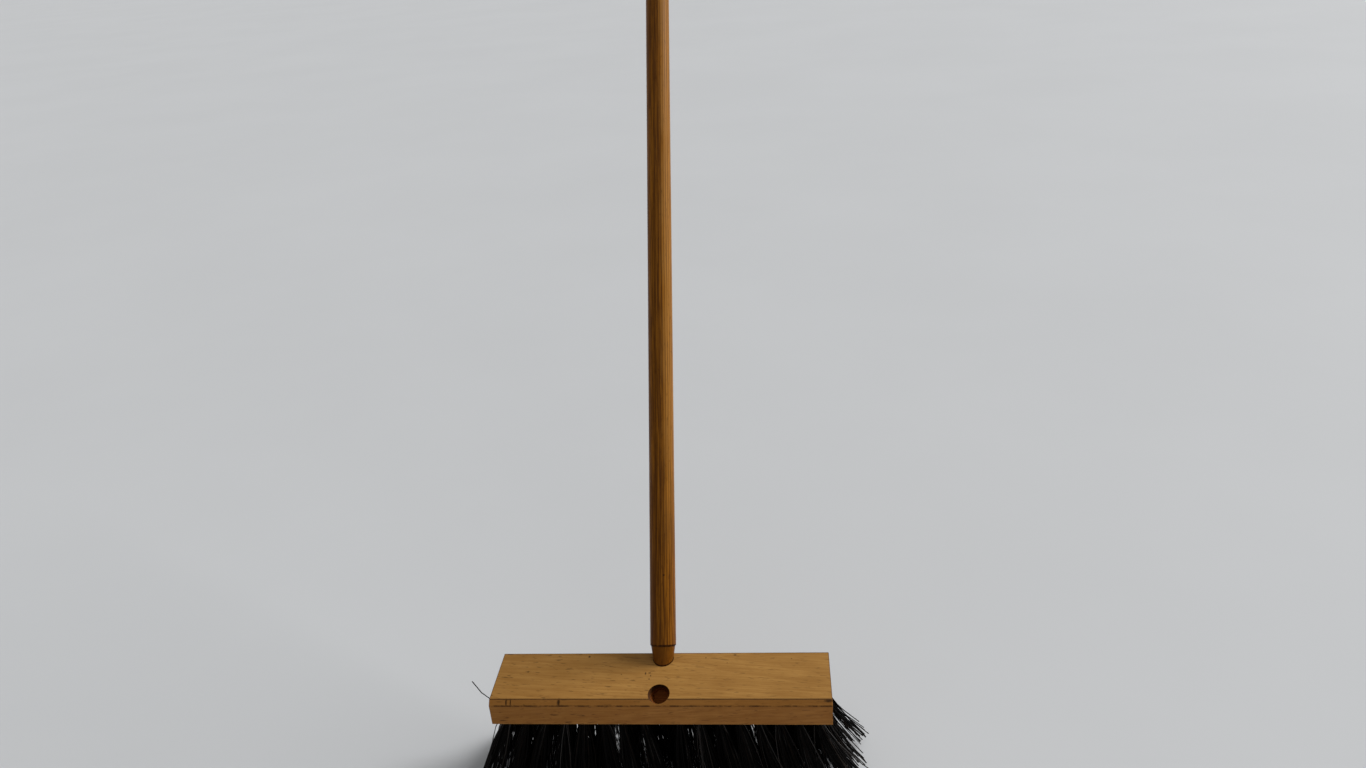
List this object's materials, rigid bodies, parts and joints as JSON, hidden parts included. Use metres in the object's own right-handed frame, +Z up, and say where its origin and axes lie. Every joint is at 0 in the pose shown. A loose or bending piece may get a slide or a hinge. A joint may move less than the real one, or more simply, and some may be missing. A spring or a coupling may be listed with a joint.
{
  "type": "shop broom",
  "caption": "Push broom: a chamfered wooden block with two slanting sockets, a turned handle that pulls out of one, and rows of coarse dark bristle tufts fanning out at the ends.",
  "frame": {"origin": "centre of the block's top face, between the two handle sockets", "axes": "+Z up, square to the block's top face; +X along the block's length; the handle leans towards +Y"},
  "size_m": [0.429, 0.9588, 1.3478],
  "materials": {
    "block_wood": "planed hardwood with a thin worn lacquer",
    "handle_wood": "turned hardwood with an amber lacquer",
    "fibre": "coarse near-black fibre with a slight gloss"
  },
  "bodies": {
    "head": {"block": "block_wood", "bristle_bank_1": "fibre", "bristle_bank_2": "fibre", "bristle_bank_3": "fibre", "bristle_bank_4": "fibre"},
    "handle": {"handle": "handle_wood"}
  },
  "joints": [
    {"name": "handle_draw", "type": "slide", "parent": "head", "child": "handle", "axis": [0, 0.5878, 0.809], "range_m": [0, 0.06]}
  ]
}
